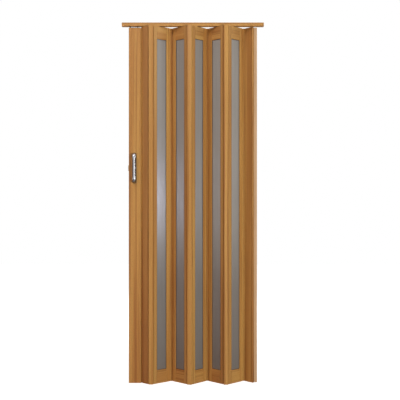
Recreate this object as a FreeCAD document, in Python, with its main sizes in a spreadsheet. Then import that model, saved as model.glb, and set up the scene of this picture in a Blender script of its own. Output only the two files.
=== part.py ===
"""Accordion door with five glazed leaves, hung from a straight top track.

Row frame, in millimetres: the origin is the middle of the track's top face, +Z is up, +X runs along
the track towards the wall channel and the front of the door faces -Y. The door stands partly folded:
the leaves zigzag about the track's axis and bead-and-socket strips join them at every fold.
"""
import FreeCAD
import Part
import Sketcher
import math
import os
from types import SimpleNamespace

from FreeCAD import Placement, Rotation, Vector

UP = Vector(0, 0, 1)
ALONG = Vector(1, 0, 0)

# Driving dimensions in millimetres and degrees, by the sheet's alias
SIZES = {
    # Whole door
    "door_height": 2030.0,
    # Top track: a slotted channel with a thicker lower band
    "track_length": 800.0,
    "track_depth": 32.0,
    "track_height": 20.0,
    "track_wall": 1.6,
    "track_slot": 9.0,
    "track_band": 7.0,
    "track_step": 0.8,
    "track_lip": 1.2,
    "track_lip_height": 1.5,
    "track_corner": 1.2,
    "track_hole": 4.6,
    "track_hole_inset": 70.0,
    # Gaps under the track
    "leaf_gap": 2.0,
    "post_gap": 9.0,
    "channel_gap": 8.0,
    "channel_lift": 4.5,
    # Bead-and-socket folds
    "bead_radius": 4.0,
    "bead_play": 0.3,
    "socket_wall": 2.0,
    "socket_root": 0.5,
    "neck_thickness": 3.2,
    "neck_reach": 8.0,
    "hinge_pitch": 12.0,
    "cap_width": 25.0,
    "cap_thickness": 2.2,
    "cap_root": 1.0,
    "cap_bevel": 0.7,
    # Leaves
    "leaf_pitch": 128.0,
    "half_leaf_pitch": 62.0,
    "leaf_thickness": 10.0,
    "stile_width": 23.0,
    "shell_wall": 1.6,
    "shoulder_bevel": 1.6,
    "arris": 1.2,
    "top_band": 71.5,
    "bottom_band": 75.0,
    "tongue_thickness": 2.9,
    "tongue_reach": 7.5,
    "tongue_setback": 3.0,
    # Panes
    "pane_thickness": 3.0,
    "pane_play": 0.1,
    "groove_depth": 8.0,
    "pane_edge_play": 1.0,
    # Angle of each leaf to the track
    "start_leaf_angle": 40.0,
    "first_leaf_angle": 39.0,
    "second_leaf_angle": 42.4,
    "third_leaf_angle": 46.6,
    "fourth_leaf_angle": 44.5,
    "fifth_leaf_angle": 44.1,
    "end_leaf_angle": 45.9,
    # Lead post
    "post_width": 67.5,
    "post_depth": 22.0,
    "post_wall": 1.8,
    "post_corner": 2.0,
    "flute_depth": 0.6,
    "flute_width": 2.4,
    "flute_inset": 15.5,
    "flute_spacing": 17.0,
    # Wall channel and the bar that snaps into it
    "wall_inset": 38.4,
    "channel_reach": 17.0,
    "channel_depth": 20.0,
    "channel_wall": 1.6,
    "channel_clear": 0.3,
    "bar_play": 0.2,
    "bar_corner": 1.0,
    "wall_hole": 4.6,
    "wall_hole_inset": 98.75,
    # Handle
    "handle_height": 1210.5,
    "handle_inset": 32.0,
    "plate_width": 23.0,
    "plate_thickness": 3.6,
    "plate_corner": 9.5,
    "plate_rim": 2.0,
    "plate_recess": 1.4,
    "plate_play": 0.3,
    "bow_length": 168.0,
    "bow_width": 11.0,
    "bow_taper": 16.0,
    "bow_thickness": 6.0,
    "bow_reach": 30.0,
    "bow_bend": 24.0,
    "bow_crop": 3.0,
    "bow_edge": 1.5,
    "slide_height": 12.0,
    "slide_reach": 4.0,
    "slide_play": 0.3,
    # Latch
    "latch_height": 33.0,
    "latch_depth": 8.0,
    "latch_nose": 3.5,
    "latch_play": 0.5,
    "latch_tail": 9.0,
    # Runners
    "shoe_length": 28.0,
    "shoe_height": 5.0,
    "shoe_nose": 4.0,
    "shoe_play": 0.6,
    "shoe_lift": 0.1,
    "stem_radius": 2.5,
    "stem_play": 0.1,
    "stem_depth": 18.0,
    "stem_end_play": 1.0,
    "collar_width": 8.8,
    "collar_height": 1.2,
    "runner_inset": 8.0,
    "runner_spacing": 42.0,
    "post_cap_height": 2.0,
    "post_plug_depth": 10.0,
    "post_plug_play": 0.3,
}

# How far a socket wraps past the two end positions of its bead's neck, in degrees
SOCKET_WRAP = 22.0
TRACK_HOLES = 4
WALL_HOLES = 4
POST_CHAMBERS = 3
HALF_LEAF_CHAMBERS = 3
RAIL_CHAMBERS = 2


class Size:
    """A length that carries its formula in the sheet, so that what is built from it stays bound."""

    def __init__(self, value, formula):
        self.value = value
        self.formula = formula

    @staticmethod
    def of(number):
        if isinstance(number, Size):
            return number
        return Size(float(number), repr(float(number)))

    def __add__(self, other):
        other = Size.of(other)
        return Size(self.value + other.value, f"({self.formula} + {other.formula})")

    def __sub__(self, other):
        other = Size.of(other)
        return Size(self.value - other.value, f"({self.formula} - {other.formula})")

    def __mul__(self, other):
        other = Size.of(other)
        return Size(self.value * other.value, f"({self.formula} * {other.formula})")

    def __truediv__(self, other):
        other = Size.of(other)
        return Size(self.value / other.value, f"({self.formula} / {other.formula})")

    def __neg__(self):
        return Size(-self.value, f"(0 - {self.formula})")

    __radd__ = __add__
    __rmul__ = __mul__

    def __rsub__(self, other):
        return Size.of(other) - self


def root(size):
    return Size(math.sqrt(size.value), f"sqrt({size.formula})")


def polar(radius, degrees, centre_x=0.0):
    """A point on a circle about (centre_x, 0), bound to the circle's radius."""
    turn = math.radians(degrees)
    return (radius * math.cos(turn) + centre_x, radius * math.sin(turn))


doc = FreeCAD.newDocument("accordion_door")
sheet = doc.addObject("Spreadsheet::Sheet", "Sizes")
for row, (alias, number) in enumerate(SIZES.items(), start=1):
    sheet.set(f"A{row}", alias)
    sheet.set(f"B{row}", str(number))
    sheet.setAlias(f"B{row}", alias)
doc.recompute()
s = SimpleNamespace(**{alias: Size(number, f"Sizes.{alias}") for alias, number in SIZES.items()})

nodes = []


def node(piece, label, placement=None):
    """Gives a finished sub-part its name and its place in the door."""
    piece.Label = label
    if placement is not None:
        piece.Placement = placement
    nodes.append(piece)
    return piece


def plane(body, role):
    return next(f for f in body.Origin.OriginFeatures if f.Role == role)


def arc_between(start, end, radius, side, large):
    """The arc from start to end with its centre on the given side: +1 is left of the way there."""
    chord = end - start
    half = chord.Length / 2
    away = math.sqrt(max(radius ** 2 - half ** 2, 0.0)) * (-1 if large else 1)
    normal = Vector(-chord.y, chord.x, 0).normalize()
    centre = start + chord / 2 + normal * (side * away)
    first = math.atan2(start.y - centre.y, start.x - centre.x)
    last = math.atan2(end.y - centre.y, end.x - centre.x)
    circle = Part.Circle(centre, UP, radius)
    if side > 0:
        return Part.ArcOfCircle(circle, first, last if last > first else last + 2 * math.pi), 1, 2
    return Part.ArcOfCircle(circle, last, first if first > last else first + 2 * math.pi), 2, 1


def draw_loop(sketch, corners):
    """Draws one closed outline and pins each corner and radius to the sheet.

    A corner is (x, y), or (x, y, radius, side) or (x, y, radius, side, True) where an arc leads on
    to the next corner: side +1 turns left about its centre, -1 right, and True takes the long way.
    """
    points = [Vector(Size.of(c[0]).value, Size.of(c[1]).value, 0) for c in corners]
    ends = []
    for index, corner in enumerate(corners):
        start, end = points[index], points[(index + 1) % len(points)]
        if len(corner) == 2:
            edge = sketch.addGeometry(Part.LineSegment(start, end))
            ends.append((edge, 1, 2))
            continue
        large = len(corner) == 5
        arc, first, last = arc_between(start, end, corner[2].value, corner[3], large)
        edge = sketch.addGeometry(arc)
        ends.append((edge, first, last))
        held = sketch.addConstraint(Sketcher.Constraint("Radius", edge, corner[2].value))
        sketch.setExpression(f"Constraints[{held}]", corner[2].formula)
    for index, corner in enumerate(corners):
        edge, first, _ = ends[index]
        before, _, last = ends[index - 1]
        sketch.addConstraint(Sketcher.Constraint("Coincident", before, last, edge, first))
        for kind, size in (("DistanceX", Size.of(corner[0])), ("DistanceY", Size.of(corner[1]))):
            held = sketch.addConstraint(Sketcher.Constraint(kind, -1, 1, edge, first, size.value))
            sketch.setExpression(f"Constraints[{held}]", size.formula)


def draw_circle(sketch, x, y, radius):
    """Draws one circle whose centre and radius are pinned to the sheet."""
    x, y = Size.of(x), Size.of(y)
    centre = Vector(x.value, y.value, 0)
    edge = sketch.addGeometry(Part.Circle(centre, UP, radius.value))
    for kind, size in (("DistanceX", x), ("DistanceY", y)):
        held = sketch.addConstraint(Sketcher.Constraint(kind, -1, 1, edge, 3, size.value))
        sketch.setExpression(f"Constraints[{held}]", size.formula)
    held = sketch.addConstraint(Sketcher.Constraint("Radius", edge, radius.value))
    sketch.setExpression(f"Constraints[{held}]", radius.formula)


def new_sketch(body, role, name):
    sketch = body.newObject("Sketcher::SketchObject", name)
    sketch.AttachmentSupport = (plane(body, role), [""])
    sketch.MapMode = "FlatFace"
    return sketch


def pad(body, sketch, length, both_ways=False):
    feature = body.newObject("PartDesign::Pad", "Pad")
    feature.Profile = sketch
    feature.setExpression("Length", Size.of(length).formula)
    feature.Midplane = both_ways
    sketch.Visibility = False
    return feature


def pocket(body, sketch, length, reverse=False, both_ways=False):
    """Cuts a sketch out of the body and makes sure that it took something away."""
    doc.recompute()
    before = body.Shape.Volume
    feature = body.newObject("PartDesign::Pocket", "Pocket")
    feature.Profile = sketch
    feature.setExpression("Length", Size.of(length).formula)
    feature.Reversed = reverse
    feature.Midplane = both_ways
    sketch.Visibility = False
    doc.recompute()
    if body.Shape.Volume > before - 1e-3:
        raise RuntimeError(f"{body.Name}: the pocket {feature.Name} cuts nothing")
    return feature


def row_of(body, feature, axis_role, spacing, count):
    """Repeats one feature of the body along an axis, at an even spacing."""
    pattern = body.newObject("PartDesign::LinearPattern", "LinearPattern")
    pattern.Originals = [feature]
    pattern.Direction = (plane(body, axis_role), [""])
    pattern.setExpression("Length", (spacing * (count - 1)).formula)
    pattern.Occurrences = count
    body.Tip = pattern
    return pattern


def extrusion(name, loops, height):
    """A vertical profile: the outline and its chambers, drawn in plan and run up from z = 0."""
    body = doc.addObject("PartDesign::Body", name)
    sketch = new_sketch(body, "XY_Plane", f"{name}_section")
    for loop in loops:
        draw_loop(sketch, loop)
    pad(body, sketch, height)
    return body


def rectangle(x0, y0, x1, y1):
    return [(x0, y0), (x1, y0), (x1, y1), (x0, y1)]


# Sizes worked out from the driving ones
socket_inner = s.bead_radius + s.bead_play
socket_outer = socket_inner + s.socket_wall
socket_face = socket_outer - s.socket_root
leaf_top = -(s.track_height + s.leaf_gap)
post_top = -(s.track_height + s.post_gap)
channel_top = -(s.track_height + s.channel_gap)
leaf_height = s.door_height + leaf_top
window_width = s.leaf_pitch - 2 * (s.neck_reach + s.stile_width)
groove_half = s.pane_thickness / 2 + s.pane_play
bead_clear = s.leaf_thickness / 2 + s.channel_clear
slot_lip = s.track_slot / 2 + s.track_lip
track_inner = s.track_depth / 2 - s.track_step - s.track_wall
track_floor = s.track_wall - s.track_height
track_hole_spacing = (s.track_length - 2 * s.track_hole_inset) / (TRACK_HOLES - 1)
channel_height = s.door_height + channel_top - s.channel_lift
dish_width = s.plate_width - 2 * s.plate_rim
bow_end_width = dish_width - 2 * s.plate_play
wall_hole_spacing = (channel_height - 2 * s.wall_hole_inset) / (WALL_HOLES - 1)
bottom = -s.door_height.value


# Plan of the folds: where each bead stands along the track
def leaf_plan():
    """Works from the wall towards the lead post and returns each leaf's middle and direction.

    The glazed leaves turn about points on the track's axis, so their beads lie evenly to both sides.
    A fold strip spans the beads of two neighbours and takes up their small difference in depth.
    """
    angles = [
        s.fifth_leaf_angle, s.fourth_leaf_angle, s.third_leaf_angle, s.second_leaf_angle,
        s.first_leaf_angle,
    ]
    pitch = s.hinge_pitch.value
    wall_face = s.track_length.value / 2 - s.wall_inset.value
    bar_bead = wall_face - (s.channel_reach + bead_clear).value
    swing = math.radians(s.end_leaf_angle.value)
    reach = s.half_leaf_pitch.value
    near = Vector(bar_bead - reach * math.cos(swing), reach * math.sin(swing), 0)
    end_leaf = SimpleNamespace(bead=Vector(bar_bead, 0, 0), far=near)
    leaves, strips = [], []
    side = 1
    for angle in angles:
        swing = math.radians(angle.value)
        half = s.leaf_pitch.value / 2
        depth = side * half * math.sin(swing)
        step = math.sqrt(pitch ** 2 - (depth - near.y) ** 2)
        right = Vector(near.x - step, depth, 0)
        strips.append(SimpleNamespace(left=right, right=near, side=side))
        middle = Vector(right.x - half * math.cos(swing), 0, 0)
        left = middle * 2 - right
        leaves.append(SimpleNamespace(left=left, right=right, middle=middle))
        near, side = left, -side
    swing = math.radians(s.start_leaf_angle.value)
    depth = side * reach * math.sin(swing)
    step = math.sqrt(pitch ** 2 - (depth - near.y) ** 2)
    far = Vector(near.x - step, depth, 0)
    strips.append(SimpleNamespace(left=far, right=near, side=side))
    start_leaf = SimpleNamespace(bead=Vector(far.x - reach * math.cos(swing), 0, 0), far=far)
    return SimpleNamespace(
        wall_face=wall_face, end_leaf=end_leaf, start_leaf=start_leaf,
        leaves=leaves[::-1], strips=strips[::-1],
    )


def turned(start, end):
    """The turn about the upright axis that lays +X along the way from start to end."""
    return Rotation(UP, math.degrees(math.atan2(end.y - start.y, end.x - start.x)))


def at_foot(point, turn=0.0, lift=0.0):
    rotation = turn if isinstance(turn, Rotation) else Rotation(UP, turn)
    return Placement(Vector(point.x, point.y, bottom + lift), rotation)


plan = leaf_plan()


# Top track
def make_track():
    body = doc.addObject("PartDesign::Body", "top_track")
    half, low = s.track_depth / 2, -s.track_height
    upper, inner = half - s.track_step, track_inner
    slot, lip = s.track_slot / 2, slot_lip
    floor = track_floor
    ledge = floor + s.track_lip_height
    band = low + s.track_band
    corner = s.track_corner
    right = [
        (slot, low), (half - corner, low, corner, 1), (half, low + corner), (half, band),
        (upper, band + s.track_step), (upper, 0),
    ]
    left = [
        (-upper, 0), (-upper, band + s.track_step), (-half, band),
        (-half, low + corner, corner, 1), (-half + corner, low), (-slot, low),
        (-slot, ledge), (-lip, ledge), (-lip, floor), (-inner, floor), (-inner, -s.track_wall),
    ]
    inside = [
        (inner, -s.track_wall), (inner, floor), (lip, floor), (lip, ledge), (slot, ledge),
    ]
    sketch = new_sketch(body, "YZ_Plane", "track_section")
    draw_loop(sketch, right + left + inside)
    pad(body, sketch, s.track_length, both_ways=True)
    holes = new_sketch(body, "XY_Plane", "screw_hole")
    draw_circle(holes, s.track_hole_inset - s.track_length / 2, 0, s.track_hole / 2)
    first = pocket(body, holes, s.track_wall * 2)
    row_of(body, first, "X_Axis", track_hole_spacing, TRACK_HOLES)
    node(body, "top_track")


# Bead-and-socket profiles, all drawn in plan
def socket_bar(name, width, depth, wall, corner, chambers, flutes, height):
    """A hollow bar with an open socket on its right edge; the origin is the socket's centre.

    The socket is open from straight out to square to the bar's front, so its bead's neck can swing
    between those two positions, and it wraps the bead by more than half.
    """
    low, high = -90.0 - SOCKET_WRAP, SOCKET_WRAP
    half = depth / 2
    right = -socket_face
    left = right - width
    meet = root(socket_outer * socket_outer - socket_face * socket_face)
    outline = [
        polar(socket_inner, high), (*polar(socket_outer, high), socket_outer, 1), (right, meet),
        (right, half - corner, corner, 1), (right - corner, half),
    ]
    for inset in reversed(flutes):
        outline += [
            (left + inset + s.flute_width / 2, half),
            (left + inset, half - s.flute_depth),
            (left + inset - s.flute_width / 2, half),
        ]
    outline += [
        (left + corner, half, corner, 1), (left, half - corner),
        (left, corner - half, corner, 1), (left + corner, -half),
    ]
    for inset in flutes:
        outline += [
            (left + inset - s.flute_width / 2, -half),
            (left + inset, s.flute_depth - half),
            (left + inset + s.flute_width / 2, -half),
        ]
    outline += [
        (right - corner, -half, corner, 1), (right, corner - half),
        (right, -meet, socket_outer, 1), polar(socket_outer, low),
        (*polar(socket_inner, low), socket_inner, -1, True),
    ]
    cell = (width - wall * (chambers + 1)) / chambers
    loops = [outline]
    for index in range(chambers):
        x0 = left + wall + (cell + wall) * index
        loops.append(rectangle(x0, wall - half, x0 + cell, half - wall))
    return extrusion(name, loops, height)


def bead_edge(x, sign):
    """A leaf's edge from face to face: two bevelled shoulders, the neck and the bead at x.

    Sign 1 draws a left edge, downwards in plan, and -1 a right edge, upwards.
    """
    half, neck, bevel = s.leaf_thickness / 2, s.neck_thickness / 2, s.shoulder_bevel
    start = x + s.neck_reach * sign
    root_x = x + root(s.bead_radius * s.bead_radius - neck * neck) * sign
    return [
        (start + bevel * sign, half * sign), (start, (half - bevel) * sign), (start, neck * sign),
        (root_x, neck * sign, s.bead_radius, 1, True), (root_x, -neck * sign),
        (start, -neck * sign), (start, (bevel - half) * sign),
        (start + bevel * sign, -half * sign),
    ]


def make_stile(name, placement):
    """A stile: bead and neck, a hollow body and the pane's groove between two bevelled arrises."""
    half, wall = s.leaf_thickness / 2, s.shell_wall
    start, end = s.neck_reach, s.neck_reach + s.stile_width
    groove = end - s.groove_depth
    outline = bead_edge(0, 1) + [
        (end - s.arris, -half), (end, s.arris - half), (end, -groove_half),
        (groove, -groove_half), (groove, groove_half), (end, groove_half),
        (end, half - s.arris), (end - s.arris, half),
    ]
    chamber = rectangle(start + wall, wall - half, groove - wall, half - wall)
    body = extrusion(name, [outline, chamber], leaf_height)
    node(body, name, placement)


def make_half_leaf(name, placement):
    """A plain narrow leaf with a bead along both edges and a row of chambers."""
    half, wall = s.leaf_thickness / 2, s.shell_wall
    start, end = s.neck_reach, s.half_leaf_pitch - s.neck_reach
    cell = (end - start - wall * (HALF_LEAF_CHAMBERS + 1)) / HALF_LEAF_CHAMBERS
    loops = [bead_edge(0, 1) + bead_edge(s.half_leaf_pitch, -1)]
    for index in range(HALF_LEAF_CHAMBERS):
        x0 = start + wall + (cell + wall) * index
        loops.append(rectangle(x0, wall - half, x0 + cell, half - wall))
    body = extrusion(name, loops, leaf_height)
    node(body, name, placement)


def make_fold_strip(name, placement):
    """A fold strip: two open sockets side by side behind one flat cap that faces -Y."""
    side = s.hinge_pitch / 2
    near = 90.0 + SOCKET_WRAP
    cap_in = socket_outer - s.cap_root
    cap_out = cap_in + s.cap_thickness
    spread = root(socket_outer * socket_outer - cap_in * cap_in)
    rise = root(socket_outer * socket_outer - side * side)
    edge, bevel = s.cap_width / 2, s.cap_bevel
    lip_out = polar(socket_outer, -SOCKET_WRAP, side)
    lip_in = polar(socket_inner, -SOCKET_WRAP, side)
    horn_out = polar(socket_outer, near, side)
    horn_in = polar(socket_inner, near, side)
    right = [
        (*lip_out, socket_outer, -1), (side + spread, -cap_in),
        (edge - bevel, -cap_in), (edge, -cap_in - bevel), (edge, bevel - cap_out),
        (edge - bevel, -cap_out),
    ]
    left = [
        (bevel - edge, -cap_out), (-edge, bevel - cap_out), (-edge, -cap_in - bevel),
        (bevel - edge, -cap_in), (-side - spread, -cap_in, socket_outer, -1),
        (-lip_out[0], lip_out[1]),
        (-lip_in[0], lip_in[1], socket_inner, 1, True), (-horn_in[0], horn_in[1]),
        (-horn_out[0], horn_out[1], socket_outer, -1), (Size.of(0), rise, socket_outer, -1),
        horn_out, (*horn_in, socket_inner, 1, True), lip_in,
    ]
    body = extrusion(name, [right + left], leaf_height)
    node(body, name, placement)


def make_cross_piece(name, band, placement, drilled):
    """A cross-piece between two stiles: z = 0 is its window edge and its web ends in two tongues."""
    half, wall = s.leaf_thickness / 2, s.shell_wall
    body = doc.addObject("PartDesign::Body", name)
    sketch = new_sketch(body, "YZ_Plane", f"{name}_section")
    draw_loop(sketch, [
        (half, s.arris), (half, band), (-half, band), (-half, s.arris), (s.arris - half, 0),
        (-groove_half, 0), (-groove_half, s.groove_depth), (groove_half, s.groove_depth),
        (groove_half, 0), (half - s.arris, 0),
    ])
    low = s.groove_depth + wall
    cell = (band - low - wall * RAIL_CHAMBERS) / RAIL_CHAMBERS
    for index in range(RAIL_CHAMBERS):
        z0 = low + (cell + wall) * index
        for side in (-1, 1):
            y0, y1 = groove_half * side, (half - wall) * side
            draw_loop(sketch, rectangle(y0, z0, y1, z0 + cell))
    pad(body, sketch, window_width, both_ways=True)
    tongue = new_sketch(body, "YZ_Plane", f"{name}_tongue")
    thick = s.tongue_thickness / 2
    draw_loop(tongue, rectangle(-thick, low, thick, band - s.tongue_setback))
    pad(body, tongue, window_width + 2 * s.tongue_reach, both_ways=True)
    if drilled:
        stem = new_sketch(body, "XY_Plane", f"{name}_stem_hole")
        stem.AttachmentOffset = Placement(Vector(0, 0, band.value), Rotation())
        stem.setExpression("AttachmentOffset.Base.z", band.formula)
        draw_circle(stem, 0, 0, s.stem_radius + s.stem_play)
        pocket(body, stem, s.stem_depth + s.stem_end_play)
    node(body, name, placement)


def make_pane(name, placement):
    """A frosted pane held on four sides in the grooves."""
    inset = s.groove_depth - s.pane_edge_play
    width = window_width + 2 * inset
    height = leaf_height - s.top_band - s.bottom_band + 2 * inset
    pane = doc.addObject("Part::Box", name)
    pane.setExpression("Length", width.formula)
    pane.setExpression("Width", s.pane_thickness.formula)
    pane.setExpression("Height", height.formula)
    corner = Vector(-width.value / 2, -s.pane_thickness.value / 2, (s.bottom_band - inset).value)
    node(pane, name, placement.multiply(Placement(corner, Rotation())))


def make_leaf(number, leaf):
    turn = turned(leaf.left, leaf.right)
    make_stile(f"leaf_{number}_left_stile", at_foot(leaf.left, turn))
    make_stile(f"leaf_{number}_right_stile", at_foot(leaf.right, turned(leaf.right, leaf.left)))
    window_top = (leaf_height - s.top_band).value
    make_cross_piece(
        f"leaf_{number}_top_rail", s.top_band, at_foot(leaf.middle, turn, window_top), drilled=True)
    flipped = turn.multiply(Rotation(ALONG, 180))
    make_cross_piece(
        f"leaf_{number}_bottom_rail", s.bottom_band,
        at_foot(leaf.middle, flipped, s.bottom_band.value), drilled=False)
    make_pane(f"leaf_{number}_pane", at_foot(leaf.middle, turn))


# Lead post with its latch and handles
def make_lead_post():
    flutes = [s.flute_inset, s.flute_inset + s.flute_spacing]
    height = s.door_height + post_top
    body = socket_bar(
        "lead_post", s.post_width, s.post_depth, s.post_wall, s.post_corner, POST_CHAMBERS,
        flutes, height)
    mouth = new_sketch(body, "YZ_Plane", "latch_mouth")
    left = -socket_face - s.post_width
    mouth.setExpression("AttachmentOffset.Base.z", (left + s.post_wall).formula)
    wide = s.latch_depth / 2 + s.latch_play
    tall = s.latch_height / 2 + s.latch_play
    draw_loop(mouth, rectangle(-wide, s.handle_height - tall, wide, s.handle_height + tall))
    pocket(body, mouth, s.post_wall * 2)
    node(body, "lead_post", at_foot(plan.start_leaf.bead))


def post_point(x_from_left, y, z):
    """A point given from the post's left edge, its middle plane and its foot."""
    left = plan.start_leaf.bead.x - (socket_face + s.post_width).value
    return Vector(left + x_from_left, y, bottom + z)


def make_latch():
    """A latch bolt with a rounded nose, in the post's first chamber."""
    body = doc.addObject("PartDesign::Body", "latch")
    sketch = new_sketch(body, "XZ_Plane", "latch_outline")
    tall, nose = s.latch_height / 2, s.latch_nose
    draw_loop(sketch, [
        (s.latch_tail, -tall), (s.latch_tail, tall), (0, tall, nose, 1), (-nose, tall - nose),
        (-nose, nose - tall, nose, 1), (0, -tall),
    ])
    pad(body, sketch, s.latch_depth, both_ways=True)
    node(body, "latch", Placement(post_point(0, 0, s.handle_height.value), Rotation()))


def handle_place(turn, depth):
    """The middle of a handle on the post: turn 0 faces the front, 180 the back."""
    side = -1 if turn == 0 else 1
    point = post_point(s.handle_inset.value, side * depth, s.handle_height.value)
    return Placement(point, Rotation(UP, turn))


def make_plate(name, turn):
    """A handle plate with rounded corners and a shallow dish inside its rim."""
    body = doc.addObject("PartDesign::Body", name)
    half, tall = s.plate_width / 2, s.bow_length / 2 + s.plate_play + s.plate_rim

    def rounded(inset):
        x, z, bend = half - inset, tall - inset, s.plate_corner - inset
        return [
            (x, bend - z), (x, z - bend, bend, 1), (x - bend, z), (bend - x, z, bend, 1),
            (-x, z - bend), (-x, bend - z, bend, 1), (bend - x, -z), (x - bend, -z, bend, 1),
        ]

    sketch = new_sketch(body, "XZ_Plane", f"{name}_outline")
    draw_loop(sketch, rounded(Size.of(0)))
    pad(body, sketch, s.plate_thickness)
    dish = new_sketch(body, "XZ_Plane", f"{name}_dish")
    dish.setExpression("AttachmentOffset.Base.z", s.plate_thickness.formula)
    draw_loop(dish, rounded(s.plate_rim))
    pocket(body, dish, s.plate_recess)
    node(body, name, handle_place(turn, (s.post_depth / 2).value))


def bow_front():
    """A bow's outline from the front: a slim grip that widens to both rounded ends."""
    wide, slim, tall = bow_end_width / 2, s.bow_width / 2, s.bow_length / 2
    bend = s.plate_corner - s.plate_rim - s.plate_play
    broad = tall + s.bow_crop - s.bow_bend
    grip = broad - s.bow_taper
    return [
        (slim, -grip), (slim, grip), (wide, broad),
        (wide, tall - bend, bend, 1), (wide - bend, tall), (bend - wide, tall, bend, 1),
        (-wide, tall - bend), (-wide, broad), (-slim, grip), (-slim, -grip), (-wide, -broad),
        (-wide, bend - tall, bend, 1), (bend - wide, -tall), (wide - bend, -tall, bend, 1),
        (wide, bend - tall), (wide, -broad),
    ]


def make_bow(name, turn):
    """A bow handle: its side profile run across and cropped to its front outline.

    The side profile reaches a little past the outline, so each foot ends in a full rounded face.
    """
    body = doc.addObject("PartDesign::Body", name)
    tall, out, thick, bend = s.bow_length / 2, s.bow_reach, s.bow_thickness, s.bow_bend
    end, inner = tall + s.bow_crop, bend - thick - s.bow_crop
    side = new_sketch(body, "YZ_Plane", f"{name}_side")
    draw_loop(side, [
        (0, -end), (0, thick - tall), (thick - out + inner, thick - tall, inner, -1),
        (thick - out, thick - tall + inner), (thick - out, tall - thick - inner, inner, -1),
        (thick - out + inner, tall - thick), (0, tall - thick), (0, end), (bend - out, end, bend, 1),
        (-out, end - bend), (-out, bend - end, bend, 1), (bend - out, -end),
    ])
    pad(body, side, bow_end_width, both_ways=True)
    front = new_sketch(body, "XZ_Plane", f"{name}_front")
    draw_loop(front, rectangle(-s.bow_length, -s.bow_length, s.bow_length, s.bow_length))
    draw_loop(front, bow_front())
    cropped = pocket(body, front, s.bow_reach * 3, both_ways=True)
    front_edges = [
        f"Edge{index}" for index, edge in enumerate(cropped.Shape.Edges, start=1)
        if all(abs(v.Y + out.value) < 1e-6 for v in edge.Vertexes)
        and abs(edge.Vertexes[0].Z - edge.Vertexes[-1].Z) > 1e-6
    ]
    soft = body.newObject("PartDesign::Chamfer", "Chamfer")
    soft.Base = (cropped, front_edges)
    soft.setExpression("Size", s.bow_edge.formula)
    seat = s.post_depth / 2 + s.plate_thickness - s.plate_recess
    node(body, name, handle_place(turn, seat.value))


def make_lock_slide():
    """The small thumb slide that stands beside the grip in the front plate's dish."""
    body = doc.addObject("PartDesign::Body", "lock_slide")
    sketch = new_sketch(body, "XZ_Plane", "slide_outline")
    x0, x1 = s.bow_width / 2 + s.slide_play, dish_width / 2 - s.slide_play
    draw_loop(sketch, rectangle(x0, -s.slide_height / 2, x1, s.slide_height / 2))
    pad(body, sketch, s.slide_reach)
    seat = s.post_depth / 2 + s.plate_thickness - s.plate_recess
    node(body, "lock_slide", handle_place(0, seat.value))


# Wall channel and bar
def make_wall_channel():
    """A plain channel against the wall, open towards the door, with a row of screw holes."""
    half, wall, reach = s.channel_depth / 2, s.channel_wall, s.channel_reach
    body = extrusion("wall_channel", [[
        (0, -half), (0, half), (-reach, half), (-reach, half - wall), (-wall, half - wall),
        (-wall, wall - half), (-reach, wall - half), (-reach, -half),
    ]], channel_height)
    hole = new_sketch(body, "YZ_Plane", "wall_screw_hole")
    draw_circle(hole, 0, s.wall_hole_inset, s.wall_hole / 2)
    cut = pocket(body, hole, wall * 2)
    row_of(body, cut, "Z_Axis", wall_hole_spacing, WALL_HOLES)
    place = at_foot(Vector(plan.wall_face, 0, 0), lift=s.channel_lift.value)
    node(body, "wall_channel", place)


def make_wall_bar():
    width = bead_clear + s.channel_reach - s.channel_wall - s.bar_play - socket_face
    depth = s.channel_depth - 2 * (s.channel_wall + s.bar_play)
    body = socket_bar(
        "wall_bar", width, depth, s.shell_wall, s.bar_corner, 1, [], channel_height)
    node(body, "wall_bar", at_foot(plan.end_leaf.bead, 180, s.channel_lift.value))


# Runners
def make_glider(name, seat, depth):
    """A nylon glider: two wings that ride on the track's flanges, a neck in the slot and a stem.

    The stem's collar sits on what it carries, at the height seat, and the stem runs depth below it.
    """
    body = doc.addObject("PartDesign::Body", name)
    neck = s.track_slot / 2 - s.shoe_play
    over = slot_lip + s.shoe_play
    wing = track_inner - s.shoe_play
    low = -s.track_height
    bridge = track_floor + s.track_lip_height + s.shoe_play
    sole = track_floor + s.shoe_lift
    roof = sole + s.shoe_height
    section = new_sketch(body, "YZ_Plane", f"{name}_section")
    draw_loop(section, [
        (neck, low), (neck, bridge), (over, bridge), (over, sole), (wing, sole), (wing, roof),
        (-wing, roof), (-wing, sole), (-over, sole), (-over, bridge), (-neck, bridge), (-neck, low),
    ])
    shoe = pad(body, section, s.shoe_length, both_ways=True)
    doc.recompute()
    corners = [
        f"Edge{index}" for index, edge in enumerate(shoe.Shape.Edges, start=1)
        if all(abs(abs(v.Y) - wing.value) < 1e-6 for v in edge.Vertexes)
        and abs(edge.Vertexes[0].Z - edge.Vertexes[-1].Z) > 1e-6
    ]
    nose = body.newObject("PartDesign::Chamfer", "Chamfer")
    nose.Base = (shoe, corners)
    nose.setExpression("Size", s.shoe_nose.formula)
    stem = new_sketch(body, "XY_Plane", f"{name}_stem")
    stem.setExpression("AttachmentOffset.Base.z", (seat - depth).formula)
    draw_circle(stem, 0, 0, s.stem_radius)
    pad(body, stem, bridge - seat + depth)
    collar = new_sketch(body, "XY_Plane", f"{name}_collar")
    collar.setExpression("AttachmentOffset.Base.z", seat.formula)
    side = s.collar_width / 2
    draw_loop(collar, rectangle(-side, -side, side, side))
    pad(body, collar, s.collar_height)
    doc.recompute()
    return body


def placed(shape, place):
    copy = shape.copy()
    copy.Placement = place
    return copy


def make_leaf_runners():
    """One glider over the middle of each glazed leaf, its stem in the top rail's hole."""
    glider = make_glider("leaf_glider", leaf_top, s.stem_depth)
    places = [Placement(leaf.middle, Rotation()) for leaf in plan.leaves]
    row = doc.addObject("Part::Feature", "leaf_runners")
    row.Shape = Part.makeCompound([placed(glider.Shape, place) for place in places])
    node(row, "leaf_runners")


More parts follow.
